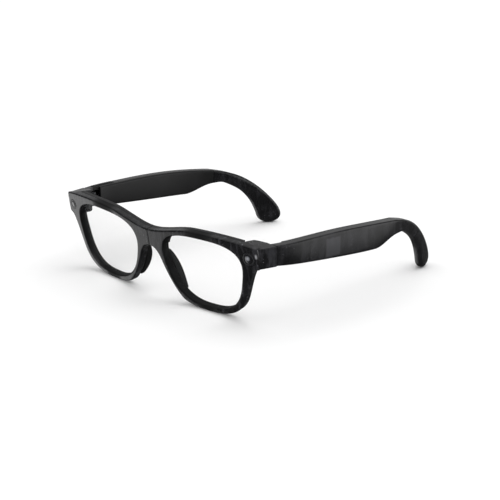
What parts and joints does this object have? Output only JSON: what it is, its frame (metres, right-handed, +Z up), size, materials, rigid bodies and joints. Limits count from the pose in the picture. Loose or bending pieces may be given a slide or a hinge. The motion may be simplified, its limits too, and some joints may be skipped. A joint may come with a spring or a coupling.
{
  "type": "smart glasses",
  "caption": "Thick square-eyed glasses with a camera, a capture light, open-ear speakers, a battery and a main board in folding temples.",
  "frame": {"origin": "centre of the footprint, on the surface the open glasses stand on", "axes": "+Z up, +Y from the front back along the temples, +X towards the wearer's left, where the camera is"},
  "size_m": [0.1472, 0.1458, 0.0407],
  "materials": {
    "smoke_gloss": "polished, slightly see-through smoky black",
    "smoke_satin": "satin smoky black",
    "lens_clear": "clear plastic lens, hard coated",
    "window_dark": "dark polished window",
    "black_satin": "satin black",
    "steel": "fine turned or stamped",
    "gold": "gold plated",
    "board_green": "solder mask",
    "flex_amber": "amber film",
    "cell_grey": "laminated foil pouch",
    "mesh_black": "woven mesh",
    "indicator_white": "milky light guide"
  },
  "bodies": {
    "front": {"front_frame": "smoke_gloss", "rear_brow_cover": "smoke_satin", "lens_left": "lens_clear", "lens_right": "lens_clear", "nose_pad_left": "smoke_gloss", "nose_pad_right": "smoke_gloss", "front_flex": "flex_amber", "bridge_microphone": "steel", "charge_contact_left": "gold", "charge_contact_right": "gold", "camera_bezel": "black_satin", "camera_window": "window_dark", "camera_lens_barrel": "black_satin", "camera_sensor_board": "board_green", "indicator_bezel": "black_satin", "indicator_window": "window_dark", "indicator_light_guide": "indicator_white", "indicator_led_board": "board_green", "hinge_front_leaf_left": "steel", "hinge_front_leaf_right": "steel", "hinge_pin_left": "steel", "hinge_pin_right": "steel"},
    "left_temple": {"temple_outer_left": "smoke_gloss", "temple_inner_cover_left": "smoke_satin", "hinge_temple_leaf_left": "steel", "leaf_screw_left_1": "steel", "leaf_screw_left_2": "steel", "speaker_left": "black_satin", "speaker_mesh_left": "mesh_black", "temple_microphone_left": "steel", "battery": "cell_grey", "power_board": "board_green", "slide_switch": "steel"},
    "power_slider": {"power_slider": "black_satin"},
    "right_temple": {"temple_outer_right": "smoke_gloss", "temple_inner_cover_right": "smoke_satin", "hinge_temple_leaf_right": "steel", "leaf_screw_right_1": "steel", "leaf_screw_right_2": "steel", "speaker_right": "black_satin", "speaker_mesh_right": "mesh_black", "temple_microphone_right": "steel", "main_board": "board_green", "processor_shield": "steel", "touch_film": "flex_amber", "capture_switch": "black_satin"},
    "capture_button": {"capture_button": "black_satin"}
  },
  "joints": [
    {"name": "left_temple_fold", "type": "hinge", "parent": "front", "child": "left_temple", "pos_m": [0.0655, -0.0531, 0.0325], "axis": [0, 0, 1], "range_deg": [0, 84]},
    {"name": "right_temple_fold", "type": "hinge", "parent": "front", "child": "right_temple", "pos_m": [-0.0655, -0.0531, 0.0325], "axis": [0, 0, 1], "range_deg": [-68, 0]},
    {"name": "power_slide", "type": "slide", "parent": "left_temple", "child": "power_slider", "axis": [0, 1, 0], "range_m": [0, 0.0024]},
    {"name": "capture_press", "type": "slide", "parent": "right_temple", "child": "capture_button", "axis": [0, 0, -1], "range_m": [0, 0.0004], "stiffness_N_per_m": 600}
  ]
}
